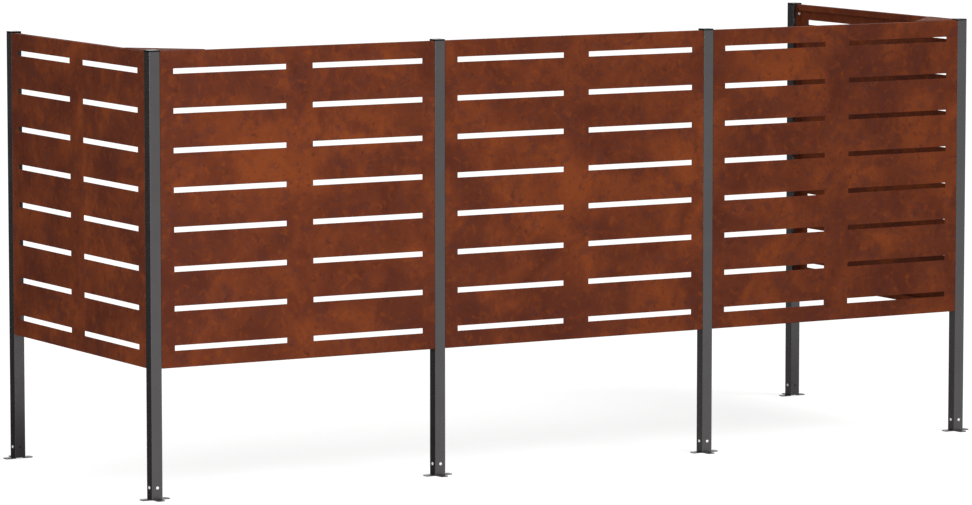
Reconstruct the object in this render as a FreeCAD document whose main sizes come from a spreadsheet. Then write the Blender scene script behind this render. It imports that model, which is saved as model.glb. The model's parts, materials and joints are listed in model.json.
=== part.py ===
"""Bin screen: slotted weathering-steel panels bolted between square posts on three-tab feet, with a plate
across each front corner.

Millimetres. The origin is on the ground under the middle of the screen, +X runs to the right along the
front row, +Y runs from the front row to the open back, +Z is up.
"""

import FreeCAD, Part
import os
import re

import Sketcher
from FreeCAD import Placement, Rotation, Vector

# Sizes that are set one by one.
DRIVING = {
    # posts
    "post_side": 38,
    "post_wall": 2,
    "post_corner": 3,
    "ground_gap": 417,
    # panels
    "panel_width": 987,
    "panel_height": 1000,
    "panel_sheet": 2,
    "return_depth": 24,
    "lip_height": 20,
    "slot_rows": 8,
    "slot_height": 17,
    "slot_margin": 46,
    "slot_web": 95,
    # corner plates
    "plate_leg": 200,
    "plate_tip": 10,
    # feet
    "foot_sheet": 3,
    "foot_height": 70,
    "tab_length": 30,
    "tab_corner": 4,
    "tab_hole": 9,
    # caps
    "cap_thickness": 5,
    "plug_wall": 2,
    # bolts, and the rivet nuts that take them in the posts
    "bolt_thread": 6,
    "bolt_head_flats": 10,
    "bolt_head_height": 3,
    "foot_bolt_length": 10,
    "foot_bolt_height": 39,
    "panel_bolt_length": 16,
    "fixing_rows": 2,
    "fixing_margin": 33,
    "fixing_slot": 9,
    "rivet_nut_flats": 9,
    "rivet_nut_length": 13,
    # clearances
    "tube_fit": 0.2,
    "bolt_fit": 0.3,
    "thread_fit": 0.1,
    "fold_relief": 0.5,
    "plug_clearance": 6,
    "plate_fit": 1,
}

# Sizes that follow from those. Threads and the holes for them are drawn six-sided, with their corners on
# the round size.
DERIVED = {
    "post_half": "post_side / 2",
    "post_bore_half": "post_half - post_wall",
    "post_lift": "foot_sheet + tube_fit",
    "post_top": "ground_gap + panel_height",
    "pitch": "panel_width + post_side",
    "panel_relief": "panel_sheet + fold_relief",
    "lip_mitre": "lip_height - panel_relief",
    "slot_pitch": "panel_height / slot_rows",
    "slot_length": "(panel_width - slot_web) / 2 - slot_margin",
    "fixing_depth": "return_depth / 2",
    "fixing_offset": "post_half - fixing_depth",
    "fixing_span": "panel_height - 2 * fixing_margin",
    "plate_reach": "plate_leg - fixing_offset",
    "plate_notch": "post_half + plate_fit",
    "insert_half": "post_bore_half - tube_fit",
    "foot_inner_half": "insert_half - foot_sheet",
    "tab_end": "post_half + tab_length",
    "tab_hole_place": "post_half + tab_length / 2",
    "bolt_hole": "bolt_thread + 2 * bolt_fit",
    "bolt_hole_flats": "bolt_hole * sqrt(3) / 2",
    "thread_flats": "bolt_thread * sqrt(3) / 2",
    "tapped_flats": "thread_flats + 2 * thread_fit",
    "rivet_nut_hole": "rivet_nut_flats + 2 * thread_fit",
    "plug_depth": "fixing_margin - rivet_nut_hole / 2 - plug_clearance",
    "plug_bore_half": "insert_half - plug_wall",
}

TOLERANCE = 1e-6
UP = Vector(0, 0, 1)

# The turn about +Z, in degrees, that brings a piece's own front round to each side.
TURN_DEGREES = {"front": 0, "right": 90, "back": 180, "left": -90}

# Each post: the place of its axis, the way its foot faces, and the walls that take a panel, each with the
# side of the post that the panel's face is flush with.
POSTS = {
    "corner_left": ("-1.5 * pitch", "-pitch / 2", "front", {"right": "front", "back": "left"}),
    "mid_left": ("-0.5 * pitch", "-pitch / 2", "front", {"left": "front", "right": "front"}),
    "mid_right": ("0.5 * pitch", "-pitch / 2", "front", {"left": "front", "right": "front"}),
    "corner_right": ("1.5 * pitch", "-pitch / 2", "front", {"left": "front", "back": "right"}),
    "end_left": ("-1.5 * pitch", "pitch / 2", "back", {"front": "left"}),
    "end_right": ("1.5 * pitch", "pitch / 2", "back", {"front": "right"}),
}

# Each wall of a post: the plane to draw its holes on, and whether the cut runs against that plane's own way.
WALLS = {
    "left": ("YZ_Plane", False),
    "right": ("YZ_Plane", True),
    "front": ("XZ_Plane", True),
    "back": ("XZ_Plane", False),
}

# Each panel: the place of its left end, seen from outside, and the way it faces.
SIDE_FACE = "(1.5 * pitch + post_half)"
FRONT_FACE = "-(pitch / 2 + post_half)"
PANELS = {
    "front_panel_left": ("-1.5 * pitch + post_half", FRONT_FACE, "front"),
    "front_panel_middle": ("-0.5 * pitch + post_half", FRONT_FACE, "front"),
    "front_panel_right": ("0.5 * pitch + post_half", FRONT_FACE, "front"),
    "side_panel_left": (f"-{SIDE_FACE}", "pitch / 2 - post_half", "left"),
    "side_panel_right": (SIDE_FACE, "-pitch / 2 + post_half", "right"),
}

# The corner posts, and the way that the plate beside each one faces.
CORNERS = {"corner_left": "left", "corner_right": "front"}

doc = FreeCAD.newDocument("BinScreen")
sheet = doc.addObject("Spreadsheet::Sheet", "Sizes")


def fill_sheet():
    cells = [(alias, str(number)) for alias, number in DRIVING.items()]
    cells += [(alias, f"={formula}") for alias, formula in DERIVED.items()]
    for row, (alias, content) in enumerate(cells, start=1):
        sheet.set(f"A{row}", alias)
        sheet.set(f"B{row}", content)
        sheet.setAlias(f"B{row}", alias)
    doc.recompute()


def bound(expression):
    """The expression with every size name pointing at the sheet."""
    known = DRIVING.keys() | DERIVED.keys()
    return re.sub("[a-z_]+", lambda word: f"Sizes.{word[0]}" if word[0] in known else word[0], expression)


def value(expression):
    return float(sheet.evalExpression(bound(expression)))


def spot(*expressions):
    return Vector(*(value(expression) for expression in expressions))


def origin_feature(body, role):
    return next(item for item in body.Origin.OriginFeatures if item.Role == role)


def new_body(label):
    body = doc.addObject("PartDesign::Body", label)
    body.Label = label
    return body


def new_sketch(body, role, lift=None):
    """A sketch on one of the body's own planes, moved along that plane's normal by lift."""
    sketch = body.newObject("Sketcher::SketchObject", "Sketch")
    sketch.AttachmentSupport = (origin_feature(body, role), [""])
    sketch.MapMode = "FlatFace"
    if lift:
        sketch.setExpression("AttachmentOffset.Base.z", bound(lift))
    return sketch


def bind(sketch, rule, expression):
    """Add a sketch constraint whose size follows an expression."""
    index = sketch.addConstraint(rule)
    sketch.renameConstraint(index, f"size{index}")
    sketch.setExpression(f"Constraints.size{index}", bound(expression))


def bind_point(sketch, geometry, point, across, along):
    """Hold a point of the sketch at two expressions, measured from the sketch's origin."""
    for direction, expression in (("X", across), ("Y", along)):
        rule = Sketcher.Constraint(f"Distance{direction}", -1, 1, geometry, point, value(expression))
        bind(sketch, rule, expression)


def draw_outline(sketch, corners):
    """A closed outline of straight lines through corners given as pairs of expressions."""
    points = [spot(across, along) for across, along in corners]
    lines = [
        sketch.addGeometry(Part.LineSegment(start, end))
        for start, end in zip(points, points[1:] + points[:1])
    ]
    for line, following in zip(lines, lines[1:] + lines[:1]):
        sketch.addConstraint(Sketcher.Constraint("Coincident", line, 2, following, 1))
    for line, (across, along) in zip(lines, corners):
        bind_point(sketch, line, 1, across, along)


def draw_circle(sketch, across, along, diameter):
    circle = sketch.addGeometry(Part.Circle(spot(across, along), UP, value(diameter) / 2))
    bind_point(sketch, circle, 3, across, along)
    bind(sketch, Sketcher.Constraint("Diameter", circle, value(diameter)), diameter)


def square(half):
    return [(f"-{half}", f"-{half}"), (half, f"-{half}"), (half, half), (f"-{half}", half)]


def rectangle(left, right, low, high):
    return [(left, low), (right, low), (right, high), (left, high)]


def hexagon(flats, across="0", along="0"):
    """A hexagon with two level flats and a point to each side."""
    point = f"{flats} / sqrt(3)"
    return [
        (f"{across} + {point}", along),
        (f"{across} + {point} / 2", f"{along} + {flats} / 2"),
        (f"{across} - {point} / 2", f"{along} + {flats} / 2"),
        (f"{across} - {point}", along),
        (f"{across} - {point} / 2", f"{along} - {flats} / 2"),
        (f"{across} + {point} / 2", f"{along} - {flats} / 2"),
    ]


def pad(body, sketch, length, backwards=False):
    feature = body.newObject("PartDesign::Pad", "Pad")
    feature.Profile = sketch
    feature.setExpression("Length", bound(length))
    feature.Reversed = backwards


def pocket(body, sketch, depth=None, backwards=False):
    """Cut the sketch to a depth, or right through both ways; a cut that removes nothing is an error."""
    doc.recompute()
    before = body.Shape.Volume
    feature = body.newObject("PartDesign::Pocket", "Pocket")
    feature.Profile = sketch
    feature.Reversed = backwards
    if depth:
        feature.setExpression("Length", bound(depth))
    else:
        feature.Type = "ThroughAll"
        feature.SideType = "Symmetric"
    doc.recompute()
    if body.Shape.Volume > before - TOLERANCE:
        raise RuntimeError(f"a pocket in {body.Label} cuts nothing")
    return feature


def pattern(body, original, *runs):
    """Repeat a feature along one or two of the body's axes; each run is (axis, length, count)."""
    feature = body.newObject("PartDesign::LinearPattern", "Pattern")
    feature.Originals = [original]
    for suffix, (role, length, count) in zip(("", "2"), runs):
        setattr(feature, f"Direction{suffix}", (origin_feature(body, role), [""]))
        feature.setExpression(f"Length{suffix}", bound(length))
        feature.setExpression(f"Occurrences{suffix}", bound(count))
    body.Tip = feature


def edges_along(body, axis, places):
    """Names of the tip's edges that run along an axis (0, 1 or 2) at the places given as pairs of
    expressions in the other two directions."""
    doc.recompute()
    others = [direction for direction in range(3) if direction != axis]
    wanted = [(value(first), value(second)) for first, second in places]
    names = []
    for number, edge in enumerate(body.Tip.Shape.Edges, start=1):
        ends = edge.Vertexes[0].Point, edge.Vertexes[-1].Point
        for target in wanted:
            misses = [abs(point[side] - to) for point in ends for side, to in zip(others, target)]
            if len(edge.Vertexes) == 2 and max(misses) < TOLERANCE:
                names.append(f"Edge{number}")
    return names


def dress_edges(kind, body, axis, places, size):
    """Fillet or chamfer the edges at the places."""
    edges = edges_along(body, axis, places)
    base = body.Tip
    feature = body.newObject(f"PartDesign::{kind}", kind)
    feature.Base = (base, edges)
    feature.setExpression("Radius" if kind == "Fillet" else "Size", bound(size))


def place(body, across, along, up, facing="front"):
    body.Placement = Placement(Vector(), Rotation(UP, TURN_DEGREES[facing]))
    for direction, expression in (("x", across), ("y", along), ("z", up)):
        body.setExpression(f"Placement.Base.{direction}", bound(expression))


def make_post(name, across, along, panel_walls):
    """A square tube, drilled right through both ways for the foot, with a hexagon hole for each rivet nut."""
    post = new_body(f"{name}_post")
    section = new_sketch(post, "XY_Plane", "post_lift")
    draw_outline(section, square("post_half"))
    draw_outline(section, square("post_bore_half"))
    pad(post, section, "post_top - post_lift")
    dress_edges("Fillet", post, 2, square("post_half"), "post_corner")
    for plane in ("XZ_Plane", "YZ_Plane"):
        drilling = new_sketch(post, plane)
        draw_outline(drilling, hexagon("bolt_hole_flats", "0", "foot_bolt_height"))
        pocket(post, drilling)
    for wall, flush_side in panel_walls.items():
        plane, backwards = WALLS[wall]
        punching = new_sketch(post, plane)
        offset = "-fixing_offset" if flush_side in ("front", "left") else "fixing_offset"
        draw_outline(punching, hexagon("rivet_nut_hole", offset, "ground_gap + fixing_margin"))
        hole = pocket(post, punching, "post_side", backwards)
        pattern(post, hole, ("Z_Axis", "fixing_span", "fixing_rows"))
    place(post, across, along, "0")
    return post


def make_foot(name, across, along, facing):
    """A channel folded to fit inside the tube, with a tab turned out under each of three tube walls."""
    foot = new_body(f"{name}_foot")
    channel = new_sketch(foot, "XY_Plane")
    draw_outline(channel, [
        ("-insert_half", "-insert_half"),
        ("insert_half", "-insert_half"),
        ("insert_half", "foot_inner_half"),
        ("foot_inner_half", "foot_inner_half"),
        ("foot_inner_half", "-foot_inner_half"),
        ("-foot_inner_half", "-foot_inner_half"),
        ("-foot_inner_half", "foot_inner_half"),
        ("-insert_half", "foot_inner_half"),
    ])
    pad(foot, channel, "foot_height")
    tabs = new_sketch(foot, "XY_Plane")
    for left, right, low, high in (
        ("-tab_end", "-foot_inner_half", "-foot_inner_half", "foot_inner_half"),
        ("foot_inner_half", "tab_end", "-foot_inner_half", "foot_inner_half"),
        ("-foot_inner_half", "foot_inner_half", "-tab_end", "-foot_inner_half"),
    ):
        draw_outline(tabs, rectangle(left, right, low, high))
    pad(foot, tabs, "foot_sheet")
    tab_corners = [(f"{side}foot_inner_half", "-tab_end") for side in ("", "-")]
    tab_corners += [(f"{side}tab_end", f"{end}foot_inner_half") for side in ("", "-") for end in ("", "-")]
    dress_edges("Chamfer", foot, 2, tab_corners, "tab_corner")
    tab_holes = new_sketch(foot, "XY_Plane")
    for hole_across, hole_along in (("0", "-tab_hole_place"), ("-tab_hole_place", "0"), ("tab_hole_place", "0")):
        draw_circle(tab_holes, hole_across, hole_along, "tab_hole")
    pocket(foot, tab_holes, "foot_sheet", backwards=True)
    for plane in ("XZ_Plane", "YZ_Plane"):
        tapping = new_sketch(foot, plane)
        draw_outline(tapping, hexagon("tapped_flats", "0", "foot_bolt_height"))
        pocket(foot, tapping)
    place(foot, across, along, "0", facing)
    return foot


def make_cap(name, across, along):
    """A flat plate over the tube's end, on a hollow plug that fits inside it."""
    cap = new_body(f"{name}_cap")
    plate = new_sketch(cap, "XY_Plane")
    draw_outline(plate, square("post_half"))
    pad(cap, plate, "cap_thickness")
    dress_edges("Fillet", cap, 2, square("post_half"), "post_corner")
    plug = new_sketch(cap, "XY_Plane")
    draw_outline(plug, square("insert_half"))
    draw_outline(plug, square("plug_bore_half"))
    pad(cap, plug, "plug_depth", backwards=True)
    place(cap, across, along, "post_top")
    return cap


def make_panel(name, across, along, facing):
    """A slotted tray folded from one sheet: side returns to bolt to the posts, and top and bottom returns
    whose inner lips are mitred clear of them. In its own frame the outer face is y = 0."""
    panel = new_body(name)
    inner_side = "(panel_width - panel_sheet)"
    plan = new_sketch(panel, "XY_Plane", "panel_relief")
    draw_outline(plan, [
        ("0", "0"),
        ("panel_width", "0"),
        ("panel_width", "return_depth"),
        (inner_side, "return_depth"),
        (inner_side, "panel_sheet"),
        ("panel_sheet", "panel_sheet"),
        ("panel_sheet", "return_depth"),
        ("0", "return_depth"),
    ])
    pad(panel, plan, "panel_height - 2 * panel_relief")
    dress_edges("Fillet", panel, 2, [("0", "0"), ("panel_width", "0")], "panel_sheet")

    inner_lip, inner_top = "(return_depth - panel_sheet)", "(panel_height - panel_sheet)"
    section = new_sketch(panel, "YZ_Plane", "panel_relief")
    draw_outline(section, [
        ("0", "0"),
        ("return_depth", "0"),
        ("return_depth", "lip_height"),
        (inner_lip, "lip_height"),
        (inner_lip, "panel_sheet"),
        ("panel_sheet", "panel_sheet"),
        ("panel_sheet", inner_top),
        (inner_lip, inner_top),
        (inner_lip, "panel_height - lip_height"),
        ("return_depth", "panel_height - lip_height"),
        ("return_depth", "panel_height"),
        ("0", "panel_height"),
    ])
    pad(panel, section, "panel_width - 2 * panel_relief")
    folds = [(depth, end) for depth in ("0", "return_depth") for end in ("0", "panel_height")]
    dress_edges("Fillet", panel, 0, folds, "panel_sheet")
    lip_ends = ("panel_relief", "panel_width - panel_relief")
    lip_levels = ("lip_height", "panel_height - lip_height")
    mitres = [(end, level) for end in lip_ends for level in lip_levels]
    dress_edges("Chamfer", panel, 1, mitres, "lip_mitre")

    slot = new_sketch(panel, "XZ_Plane")
    slot_low, slot_high = (f"(slot_pitch {sign} slot_height) / 2" for sign in "-+")
    draw_outline(slot, rectangle("slot_margin", "slot_margin + slot_length", slot_low, slot_high))
    first_slot = pocket(panel, slot, "panel_sheet")
    rows = ("Z_Axis", "slot_pitch * (slot_rows - 1)", "slot_rows")
    columns = ("X_Axis", "slot_length + slot_web", "2")
    pattern(panel, first_slot, rows, columns)

    fixing = new_sketch(panel, "YZ_Plane")
    near, far = (f"fixing_depth {sign} bolt_hole / 2" for sign in "-+")
    low, high = (f"fixing_margin {sign} fixing_slot / 2" for sign in "-+")
    draw_outline(fixing, rectangle(near, far, low, high))
    first_fixing = pocket(panel, fixing)
    pattern(panel, first_fixing, ("Z_Axis", "fixing_span", "fixing_rows"))
    place(panel, across, along, "ground_gap", facing)
    return panel


def make_corner_plate(name, facing):
    """A triangular plate that lies on two panels' top returns and ties them together, cut out round the post
    between them. In its own frame the post's axis is at the origin and the panels run left and back."""
    plate = new_body(f"{name}_plate")
    outline = new_sketch(plate, "XY_Plane")
    draw_outline(outline, [
        ("plate_tip - plate_reach", "-fixing_offset"),
        ("-plate_notch", "-fixing_offset"),
        ("-plate_notch", "plate_notch"),
        ("fixing_offset", "plate_notch"),
        ("fixing_offset", "plate_reach - plate_tip"),
        ("fixing_offset - plate_tip", "plate_reach - plate_tip"),
        ("plate_tip - plate_reach", "plate_tip - fixing_offset"),
    ])
    pad(plate, outline, "panel_sheet")
    across, along, *_ = POSTS[name]
    place(plate, across, along, "post_top", facing)
    return plate


def make_bolt(name, length):
    """A hexagon bolt: the head's seat is at z = 0 and the shank hangs below it."""
    bolt = new_body(name)
    head = new_sketch(bolt, "XY_Plane")
    draw_outline(head, hexagon("bolt_head_flats"))
    pad(bolt, head, "bolt_head_height")
    shank = new_sketch(bolt, "XY_Plane")
    draw_outline(shank, hexagon("thread_flats"))
    pad(bolt, shank, length, backwards=True)
    return bolt


def make_rivet_nut():
    """A hexagon-bodied rivet nut: its mouth is at z = 0, flush with the tube's outer face."""
    nut = new_body("rivet_nut")
    section = new_sketch(nut, "XY_Plane")
    draw_outline(section, hexagon("rivet_nut_flats"))
    draw_outline(section, hexagon("tapped_flats"))
    pad(nut, section, "rivet_nut_length", backwards=True)
    return nut


def seated(seat, outward):
    """The placement that puts a fastener's seat at a point, its head outward and its hexagon's points level."""
    return Placement(seat, Rotation(UP.cross(outward), UP, outward, "ZYX"))


def panel_fixings(panel, seat):
    """Where a panel's bolts or nuts go; seat is how far inside the panel's end faces they sit."""
    rows = int(value("fixing_rows"))
    placements = []
    for row in range(rows):
        level = value("fixing_margin") + value("fixing_span") * row / max(rows - 1, 1)
        for across, inward in ((seat, 1), (value("panel_width") - seat, -1)):
            point = Vector(across, value("fixing_depth"), level)
            placements.append(panel.Placement * seated(point, Vector(inward, 0, 0)))
    return placements


def foot_fixings(foot):
    """Where a foot's bolts go, on the tube's outer faces."""
    placements = []
    for outward in (Vector(0, -1, 0), Vector(-1, 0, 0), Vector(1, 0, 0)):
        point = outward * value("post_half") + UP * value("foot_bolt_height")
        placements.append(foot.Placement * seated(point, outward))
    return placements


def group(label, body, placements):
    """One node of loose copies of a body, each a solid of its own."""
    doc.recompute()
    copies = []
    for placement in placements:
        copy = body.Shape.copy()
        copy.Placement = placement
        copies.append(copy)
    node = doc.addObject("Part::Feature", label)
    node.Label = label
    node.Shape = Part.makeCompound(copies)
    return node


def check(nodes):
    for item in doc.Objects:
        if "Invalid" in item.State or "Error" in item.State:
            raise RuntimeError(f"{item.Label} did not build: {item.State}")
    for node in nodes:
        if node.Shape.isNull() or not node.Shape.isValid():
            raise RuntimeError(f"{node.Label} has no valid shape")


fill_sheet()
nodes, feet = [], []
for name, (across, along, facing, panel_walls) in POSTS.items():
    feet.append(make_foot(name, across, along, facing))
    nodes.append(make_post(name, across, along, panel_walls))
    nodes.append(make_cap(name, across, along))
panels = [make_panel(name, *where) for name, where in PANELS.items()]
nodes += feet + panels + [make_corner_plate(name, facing) for name, facing in CORNERS.items()]
doc.recompute()

bolt_seats = [where for panel in panels for where in panel_fixings(panel, value("panel_sheet"))]
nut_seats = [where for panel in panels for where in panel_fixings(panel, 0)]
foot_seats = [where for foot in feet for where in foot_fixings(foot)]
nodes.append(group("panel_bolts", make_bolt("panel_bolt", "panel_bolt_length"), bolt_seats))
nodes.append(group("rivet_nuts", make_rivet_nut(), nut_seats))
nodes.append(group("foot_bolts", make_bolt("foot_bolt", "foot_bolt_length"), foot_seats))
doc.recompute()
check(nodes)

os.makedirs("parts", exist_ok=True)
for node in nodes:
    node.Shape.exportStep(f"parts/{node.Label}.step")
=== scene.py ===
"""Looks of the bin screen: rusted steel, powder coat, plastic caps and plated bolts, in a white studio."""

import json
import math

import bmesh
import bpy
from mathutils import Matrix, Vector


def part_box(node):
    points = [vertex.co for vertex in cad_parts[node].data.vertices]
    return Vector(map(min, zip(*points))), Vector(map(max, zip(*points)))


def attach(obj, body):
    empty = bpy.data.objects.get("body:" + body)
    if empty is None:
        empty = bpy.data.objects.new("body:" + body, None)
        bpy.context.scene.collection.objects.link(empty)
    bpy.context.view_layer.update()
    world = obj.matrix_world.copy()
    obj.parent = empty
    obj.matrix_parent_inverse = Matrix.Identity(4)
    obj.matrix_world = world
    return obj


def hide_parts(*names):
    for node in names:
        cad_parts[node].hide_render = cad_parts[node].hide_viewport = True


MM = 0.001

PANELS = (
    "front_panel_left",
    "front_panel_middle",
    "front_panel_right",
    "side_panel_left",
    "side_panel_right",
)
POSTS = ("corner_left", "mid_left", "mid_right", "corner_right", "end_left", "end_right")

# Bolts, in millimetres, with the sizes and places of the solids that they stand for.
HEAD_WIDTH = 10
HEAD_HEIGHT = 3
HEAD_RIM = 0.5
THREAD = 6
SHANK_CHAMFER = 0.6
PANEL_BOLT_LENGTH = 16
FOOT_BOLT_LENGTH = 10
FIXING_MARGIN = 33
PANEL_SHEET = 2
FOOT_BOLT_LEVEL = 39

# How finely a bolt is turned: sides round it, and rings up its dome.
BOLT_SIDES = 24
DOME_RINGS = 6

# Camera fitted to the photograph, in metres and degrees, with its lens and sensor in millimetres.
CAMERA_PLACE = (-8.7516, -15.1418, 2.5658)
CAMERA_REACH = 500
CAMERA_YAW = 29.925
CAMERA_DIP = 6.244
CAMERA_LENS = 193.04
CAMERA_SENSOR = 36

# Floor, in metres: its tone under light, and the glow that lifts it to white where it is seen.
FLOOR_HALF = 150
FLOOR_LEVEL = -0.5 * MM
FLOOR_TONE = 0.55
FLOOR_GLOW = 0.65

# Cloths, in metres: the laid ones meet at a slanting seam, and the hung one stands on the floor.
CLOTH_LEVEL = 0.2 * MM
CLOTH_NEAR = -0.49
CLOTH_REACH = 60
SEAM_NEAR = 0
SEAM_FAR = -26.92
HUNG_LEFT = (-40, -10)
HUNG_RIGHT = (0, 40)
HUNG_HEIGHT = 60
DARK_TONE = 0.02
GREY_TONE = 0.42

# Light: the world as it lights matt surfaces and as it is seen, and the two lamps, in metres and degrees.
WORLD_FILL = 0.52
WORLD_SEEN = 1
KEY_PLACE = (0, 0, 5)
KEY_TOWARDS = (-0.5, 0.8, -1.0)
KEY_POWER = 1.28
KEY_ANGLE = 35
SOFT_BOX_PLACE = (-5, -5, 2.6)
SOFT_BOX_TOWARDS = (5, 5, -1.8)
SOFT_BOX_POWER = 190
SOFT_BOX_SIZE = 3


def linear(red, green, blue):
    """A colour given in 0 to 255 sRGB, as the linear colour that shaders take."""
    parts = [level / 255 for level in (red, green, blue)]
    return (*(part / 12.92 if part <= 0.04045 else ((part + 0.055) / 1.055) ** 2.4 for part in parts), 1.0)


class Shader:
    """A material's node tree, with short ways to add the nodes that this scene uses."""

    def __init__(self, name):
        self.material = bpy.data.materials.new(name)
        self.material.use_nodes = True
        self.tree = self.material.node_tree
        self.surface = self.tree.nodes["Principled BSDF"]
        self.coordinates = self.add("ShaderNodeTexCoord").outputs["Object"]

    def add(self, kind, **settings):
        """A new node with its settings."""
        node = self.tree.nodes.new(kind)
        for setting, choice in settings.items():
            setattr(node, setting, choice)
        return node

    def link(self, source, target):
        """An output led to an input."""
        self.tree.links.new(source, target)

    def noise(self, scale, detail, roughness=0.55, distortion=0.0):
        """A noise from 0 to 1; scale is in cells per metre."""
        noise = self.add("ShaderNodeTexNoise")
        self.link(self.coordinates, noise.inputs["Vector"])
        noise.inputs["Scale"].default_value = scale
        noise.inputs["Detail"].default_value = detail
        noise.inputs["Roughness"].default_value = roughness
        noise.inputs["Distortion"].default_value = distortion
        return noise.outputs["Fac"]

    def ramp(self, source, *stops):
        """A colour ramp; each stop is (place, colour)."""
        ramp = self.add("ShaderNodeValToRGB")
        elements = ramp.color_ramp.elements
        while len(elements) < len(stops):
            elements.new(0.5)
        for element, (place, colour) in zip(elements, stops):
            element.position = place
            element.color = colour
        self.link(source, ramp.inputs["Fac"])
        return ramp.outputs["Color"]

    def span(self, source, low, high, to_low, to_high):
        """The source's range from low to high, moved to another range."""
        span = self.add("ShaderNodeMapRange")
        for name, number in (("From Min", low), ("From Max", high), ("To Min", to_low), ("To Max", to_high)):
            span.inputs[name].default_value = number
        self.link(source, span.inputs["Value"])
        return span.outputs["Result"]

    def cover(self, colour, tint, noise, start, full, share):
        """A colour under a tint that sets in where the noise passes start and has its share at full."""
        mix = self.add("ShaderNodeMix", data_type="RGBA")
        self.link(self.span(noise, start, full, 0, share), mix.inputs["Factor"])
        self.link(colour, mix.inputs["A"])
        mix.inputs["B"].default_value = tint
        return mix.outputs["Result"]

    def bump(self, height, strength, distance):
        """A relief over the whole surface; distance is in metres."""
        bump = self.add("ShaderNodeBump")
        bump.inputs["Strength"].default_value = strength
        bump.inputs["Distance"].default_value = distance
        self.link(height, bump.inputs["Height"])
        self.feed(Normal=bump.outputs["Normal"])

    def feed(self, **sources):
        """Outputs led to the surface's own sockets, such as Base_Color=tone."""
        for name, source in sources.items():
            self.link(source, self.surface.inputs[name.replace("_", " ")])

    def set(self, **numbers):
        """Fixed numbers on the surface's own sockets, such as Metallic=1."""
        for name, number in numbers.items():
            self.surface.inputs[name.replace("_", " ")].default_value = number


def rust():
    """Settled weathering-steel patina: orange clouds, brown patches, dull blooms, warm flecks, dark spots,
    fine specks and grain."""
    shader = Shader("weathering_steel")
    colour = shader.ramp(
        shader.noise(4.5, detail=5, distortion=0.7),
        (0.32, linear(92, 45, 31)),
        (0.48, linear(111, 55, 34)),
        (0.66, linear(134, 67, 36)),
    )
    patches = shader.noise(3, detail=9, roughness=0.68, distortion=0.4)
    colour = shader.cover(colour, linear(84, 43, 34), patches, start=0.5, full=0.57, share=0.55)
    blooms = shader.noise(15, detail=8, roughness=0.68, distortion=0.5)
    colour = shader.cover(colour, linear(87, 48, 42), blooms, start=0.52, full=0.62, share=0.5)
    flecks = shader.noise(32, detail=6, roughness=0.64, distortion=0.6)
    colour = shader.cover(colour, linear(144, 71, 29), flecks, start=0.53, full=0.76, share=0.65)
    spots = shader.noise(40, detail=5, roughness=0.6, distortion=0.4)
    colour = shader.cover(colour, linear(72, 38, 31), spots, start=0.6, full=0.66, share=0.42)
    specks = shader.noise(90, detail=5, roughness=0.62)
    colour = shader.cover(colour, linear(82, 49, 46), specks, start=0.52, full=0.7, share=0.3)
    grain = shader.noise(420, detail=3, roughness=0.7)
    colour = shader.cover(colour, linear(88, 42, 26), grain, start=0.35, full=0.75, share=0.22)
    shader.feed(Base_Color=colour, Roughness=shader.span(blooms, 0.52, 0.62, 0.68, 0.54))
    shader.bump(grain, strength=0.35, distance=0.3 * MM)
    shader.set(Specular_IOR_Level=0.01, Sheen_Weight=0.3, Sheen_Roughness=0.1)
    return shader.material


def powder_coat():
    """Dark grey satin powder coat with the faint orange peel of a baked finish."""
    shader = Shader("powder_coat")
    tone = shader.ramp(shader.noise(9, detail=3), (0.35, linear(41, 37, 38)), (0.65, linear(47, 43, 44)))
    sheen = shader.noise(22, detail=4)
    peel = shader.noise(650, detail=2, roughness=0.4)
    shader.feed(Base_Color=tone, Roughness=shader.span(sheen, 0.3, 0.7, 0.22, 0.3))
    shader.bump(peel, strength=0.05, distance=0.05 * MM)
    shader.set(Specular_IOR_Level=0.8)
    return shader.material


def cap_plastic():
    """Black moulded plastic, a little glossy, with a faint grain."""
    shader = Shader("cap_plastic")
    grain = shader.noise(900, detail=2, roughness=0.5)
    tone = shader.ramp(grain, (0.3, linear(7, 7, 8)), (0.7, linear(12, 12, 13)))
    shader.feed(Base_Color=tone, Roughness=shader.span(grain, 0.3, 0.7, 0.16, 0.24))
    shader.bump(grain, strength=0.1, distance=0.05 * MM)
    shader.set(Specular_IOR_Level=0.12)
    return shader.material


def plated_steel():
    """Bright zinc plate with a soft mottle."""
    shader = Shader("plated_steel")
    mottle = shader.noise(380, detail=4, roughness=0.6)
    tone = shader.ramp(mottle, (0.3, linear(242, 242, 241)), (0.7, linear(254, 254, 252)))
    shader.feed(Base_Color=tone, Roughness=shader.span(mottle, 0.3, 0.7, 0.28, 0.42))
    shader.set(Metallic=0.05)
    return shader.material


def bolt_rings(length):
    """A dome-headed bolt's outline from the end of its shank to the top of its head: (height, radius), in
    millimetres."""
    shank = THREAD / 2
    head = HEAD_WIDTH / 2
    crown = HEAD_HEIGHT - HEAD_RIM
    rings = [(-length, shank - SHANK_CHAMFER), (-length + SHANK_CHAMFER, shank), (0, shank), (0, head)]
    for ring in range(DOME_RINGS):
        angle = math.pi / 2 * ring / DOME_RINGS
        rings.append((HEAD_RIM + crown * math.sin(angle), head * math.cos(angle)))
    return rings


def add_bolt(mesh, placement, length):
    """One bolt, turned from its rings and closed at both ends."""
    turns = [2 * math.pi * side / BOLT_SIDES for side in range(BOLT_SIDES)]
    rings = []
    for height, radius in bolt_rings(length):
        points = [Vector((radius * math.cos(turn), radius * math.sin(turn), height)) * MM for turn in turns]
        rings.append([mesh.verts.new(placement @ point) for point in points])
    for lower, upper in zip(rings, rings[1:]):
        for side in range(BOLT_SIDES):
            follower = (side + 1) % BOLT_SIDES
            mesh.faces.new((lower[side], lower[follower], upper[follower], upper[side]))
    mesh.faces.new(reversed(rings[0]))
    mesh.faces.new(rings[-1])


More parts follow.
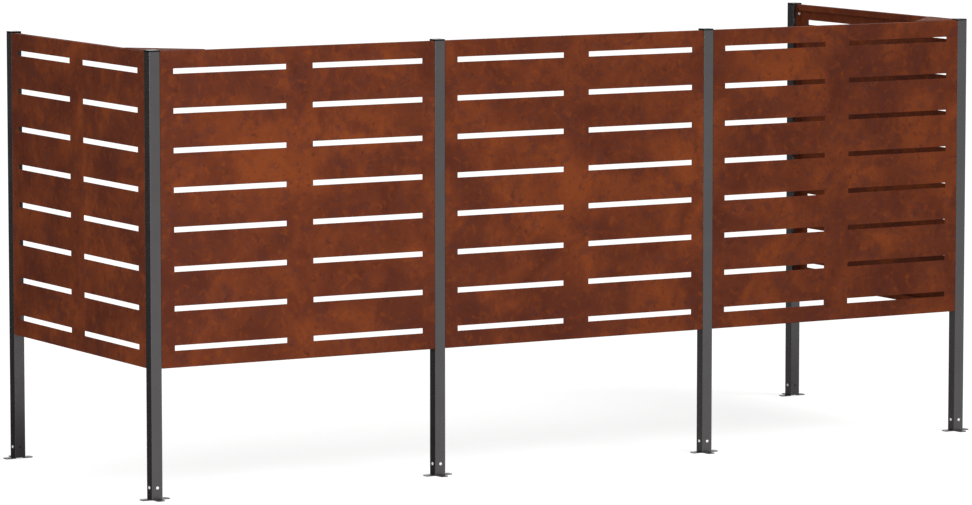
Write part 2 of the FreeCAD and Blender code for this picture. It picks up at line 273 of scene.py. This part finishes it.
def seated(point, outward):
    """The placement of a bolt whose head points outward from a point."""
    return Matrix.Translation(point) @ outward.to_track_quat("Z", "Y").to_matrix().to_4x4()


def bolts(name, node, placements, length, material):
    """All the bolts of one CAD node, as one piece."""
    mesh = bmesh.new()
    for placement in placements:
        add_bolt(mesh, placement, length)
    data = bpy.data.meshes.new(name)
    mesh.to_mesh(data)
    mesh.free()
    data.materials.append(material)
    piece = bpy.data.objects.new(name, data)
    bpy.context.scene.collection.objects.link(piece)
    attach(piece, "root")
    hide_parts(node)


def panel_bolt_placements():
    """On the inner faces of the panels' side returns, at mid depth, near the top and the bottom."""
    placements = []
    for panel in PANELS:
        low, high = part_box(panel)
        run = 0 if high.x - low.x > high.y - low.y else 1
        middle = (low + high) / 2
        for level in (low.z + FIXING_MARGIN * MM, high.z - FIXING_MARGIN * MM):
            for end, inward in ((low[run] + PANEL_SHEET * MM, 1), (high[run] - PANEL_SHEET * MM, -1)):
                point = middle.copy()
                point[run] = end
                point.z = level
                outward = Vector((0, 0, 0))
                outward[run] = inward
                placements.append(seated(point, outward))
    return placements


def foot_bolt_placements():
    """On the three walls of each post that stand over a tab."""
    placements = []
    for post in POSTS:
        low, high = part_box(f"{post}_post")
        axis = (low + high) / 2
        half = (high.x - low.x) / 2
        axis.z = FOOT_BOLT_LEVEL * MM
        third = Vector((0, 1, 0)) if post.startswith("end") else Vector((0, -1, 0))
        for outward in (Vector((-1, 0, 0)), Vector((1, 0, 0)), third):
            placements.append(seated(axis + outward * half, outward))
    return placements


def dress(frame):
    """Give every CAD node its material, and put the bolts in place of their plain solids."""
    materials = {
        "weathering_steel": rust(),
        "powder_coat": powder_coat(),
        "cap_plastic": cap_plastic(),
        "plated_steel": plated_steel(),
    }
    for subpart in frame["record"]["subparts"]:
        data = frame["nodes"][subpart["node"]].data
        data.materials.clear()
        data.materials.append(materials[subpart["material_slot"]])
    plated = materials["plated_steel"]
    bolts("panel_bolt_set", "panel_bolts", panel_bolt_placements(), PANEL_BOLT_LENGTH, plated)
    bolts("foot_bolt_set", "foot_bolts", foot_bolt_placements(), FOOT_BOLT_LENGTH, plated)


def seen_directly(tree):
    """1 for camera, glossy and transmission rays, 0 for the light that reaches matt surfaces."""
    path = tree.nodes.new("ShaderNodeLightPath")
    total = path.outputs["Is Camera Ray"]
    for ray in ("Is Glossy Ray", "Is Transmission Ray"):
        either = tree.nodes.new("ShaderNodeMath")
        either.operation = "MAXIMUM"
        tree.links.new(total, either.inputs[0])
        tree.links.new(path.outputs[ray], either.inputs[1])
        total = either.outputs[0]
    return total


def at_level(level, corners):
    """Corners given as (x, y), all at one level."""
    return [(x, y, level) for x, y in corners]


def stage_sheet(name, corners, tone):
    """A four-cornered sheet of one grey tone, which belongs to the studio and not to the part."""
    data = bpy.data.meshes.new(name)
    data.from_pydata(corners, [], [(0, 1, 2, 3)])
    material = bpy.data.materials.new(name)
    material.use_nodes = True
    material.node_tree.nodes["Principled BSDF"].inputs["Base Color"].default_value = (tone, tone, tone, 1)
    data.materials.append(material)
    sheet = bpy.data.objects.new(name, data)
    bpy.context.scene.collection.objects.link(sheet)
    return sheet


def make_floor():
    """A white floor that keeps a faint shadow."""
    half = FLOOR_HALF
    corners = [(-half, -half), (half, -half), (half, half), (-half, half)]
    floor = stage_sheet("floor", at_level(FLOOR_LEVEL, corners), FLOOR_TONE)
    tree = floor.data.materials[0].node_tree
    surface = tree.nodes["Principled BSDF"]
    surface.inputs["Roughness"].default_value = 1
    surface.inputs["Specular IOR Level"].default_value = 0
    surface.inputs["Emission Color"].default_value = (1, 1, 1, 1)
    glow = tree.nodes.new("ShaderNodeMath")
    glow.operation = "MULTIPLY"
    glow.inputs[1].default_value = FLOOR_GLOW
    tree.links.new(seen_directly(tree), glow.inputs[0])
    tree.links.new(glow.outputs[0], surface.inputs["Emission Strength"])


def make_cloth(name, corners, tone):
    """A cloth that only reflections show."""
    cloth = stage_sheet(name, corners, tone)
    cloth.visible_camera = False
    cloth.visible_diffuse = False
    cloth.visible_transmission = False
    cloth.visible_shadow = False


def make_cloths():
    """Cloths on the floor behind the front row and one hung at the back left: they keep the posts' left sides
    dark, and less so on the right, as in the photograph."""
    seam_near = (SEAM_NEAR, CLOTH_NEAR)
    seam_far = (SEAM_FAR, CLOTH_REACH)
    left = [(-CLOTH_REACH, CLOTH_NEAR), seam_near, seam_far, (-CLOTH_REACH, CLOTH_REACH)]
    right = [seam_near, (CLOTH_REACH, CLOTH_NEAR), (CLOTH_REACH, CLOTH_REACH), seam_far]
    hung = at_level(0, (HUNG_LEFT, HUNG_RIGHT)) + at_level(HUNG_HEIGHT, (HUNG_RIGHT, HUNG_LEFT))
    make_cloth("dark_laid_cloth", at_level(CLOTH_LEVEL, left), DARK_TONE)
    make_cloth("grey_laid_cloth", at_level(CLOTH_LEVEL, right), GREY_TONE)
    make_cloth("hung_cloth", hung, DARK_TONE)


def make_world():
    """A white surround, which is dimmer as light on matt surfaces than as it is seen."""
    world = bpy.data.worlds.new("studio")
    bpy.context.scene.world = world
    world.use_nodes = True
    tree = world.node_tree
    strength = tree.nodes.new("ShaderNodeMapRange")
    strength.inputs["To Min"].default_value = WORLD_FILL
    strength.inputs["To Max"].default_value = WORLD_SEEN
    tree.links.new(seen_directly(tree), strength.inputs["Value"])
    background = tree.nodes["Background"]
    background.inputs["Color"].default_value = (1, 1, 1, 1)
    tree.links.new(strength.outputs["Result"], background.inputs["Strength"])


def make_lamp(name, kind, place, towards, power, **shape):
    """A lamp that shines from a place in a direction; shape is its angle or size."""
    light = bpy.data.lights.new(name, kind)
    light.energy = power
    for setting, size in shape.items():
        setattr(light, setting, size)
    lamp = bpy.data.objects.new(name, light)
    lamp.location = place
    lamp.rotation_euler = Vector(towards).to_track_quat("-Z", "Y").to_euler()
    bpy.context.scene.collection.objects.link(lamp)


def make_lamps():
    """A broad key light from the front right, and a soft box to the front left."""
    make_lamp("key", "SUN", KEY_PLACE, KEY_TOWARDS, KEY_POWER, angle=math.radians(KEY_ANGLE))
    make_lamp("soft_box", "AREA", SOFT_BOX_PLACE, SOFT_BOX_TOWARDS, SOFT_BOX_POWER, size=SOFT_BOX_SIZE)


def make_camera():
    """The camera that looks at the part as the photograph does."""
    yaw = math.radians(CAMERA_YAW)
    dip = math.radians(CAMERA_DIP)
    aim = Vector((math.sin(yaw) * math.cos(dip), math.cos(yaw) * math.cos(dip), -math.sin(dip)))
    data = bpy.data.cameras.new("camera")
    data.sensor_width = CAMERA_SENSOR
    data.sensor_fit = "HORIZONTAL"
    data.lens = CAMERA_LENS
    data.clip_end = CAMERA_REACH
    camera = bpy.data.objects.new("camera", data)
    camera.location = CAMERA_PLACE
    camera.rotation_euler = aim.to_track_quat("-Z", "Y").to_euler()
    bpy.context.scene.collection.objects.link(camera)
    bpy.context.scene.camera = camera


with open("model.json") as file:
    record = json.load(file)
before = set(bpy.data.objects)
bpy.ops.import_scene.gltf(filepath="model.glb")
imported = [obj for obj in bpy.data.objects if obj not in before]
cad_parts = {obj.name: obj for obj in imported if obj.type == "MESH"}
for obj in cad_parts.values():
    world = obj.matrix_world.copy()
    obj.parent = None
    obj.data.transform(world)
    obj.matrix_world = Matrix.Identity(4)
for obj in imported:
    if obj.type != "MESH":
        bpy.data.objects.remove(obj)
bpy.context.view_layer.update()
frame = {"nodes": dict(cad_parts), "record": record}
dress(frame)
make_floor()
make_cloths()
make_world()
make_lamps()
make_camera()
bpy.context.scene.view_settings.view_transform = "Standard"
